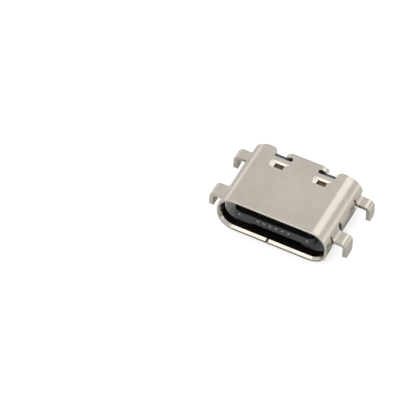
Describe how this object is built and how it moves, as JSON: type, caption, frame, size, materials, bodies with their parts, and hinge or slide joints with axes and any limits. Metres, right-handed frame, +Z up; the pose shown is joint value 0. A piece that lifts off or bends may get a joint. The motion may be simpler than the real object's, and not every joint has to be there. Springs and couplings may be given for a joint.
{
  "type": "usb-c socket",
  "caption": "Board-mounted socket for a small reversible round-ended plug: folded metal sleeve with bent board legs, moulded tongue with gold contacts, and a row of solder tails at the rear.",
  "frame": {"origin": "centre of the mouth opening, in the plane of the rim", "axes": "+X to the right when looking into the mouth, +Y from the mouth to the solder tails, +Z up; the board's top face is the plane Z = 0"},
  "size_m": [0.0112, 0.0066, 0.0032],
  "materials": {
    "shell": "satin nickel-plated sheet, with bright formed edges",
    "housing": "black moulded plastic",
    "insert": "black moulded plastic",
    "plate": "bare stamped steel",
    "contacts": "gold plated"
  },
  "bodies": {
    "root": {"shell": "shell", "housing": "housing", "upper_insert": "insert", "lower_insert": "insert", "mid_plate": "plate", "contact_a1": "contacts", "contact_a4": "contacts", "contact_a5": "contacts", "contact_a6": "contacts", "contact_a7": "contacts", "contact_a8": "contacts", "contact_a9": "contacts", "contact_a12": "contacts", "contact_b1": "contacts", "contact_b4": "contacts", "contact_b5": "contacts", "contact_b6": "contacts", "contact_b7": "contacts", "contact_b8": "contacts", "contact_b9": "contacts", "contact_b12": "contacts"}
  },
  "joints": []
}
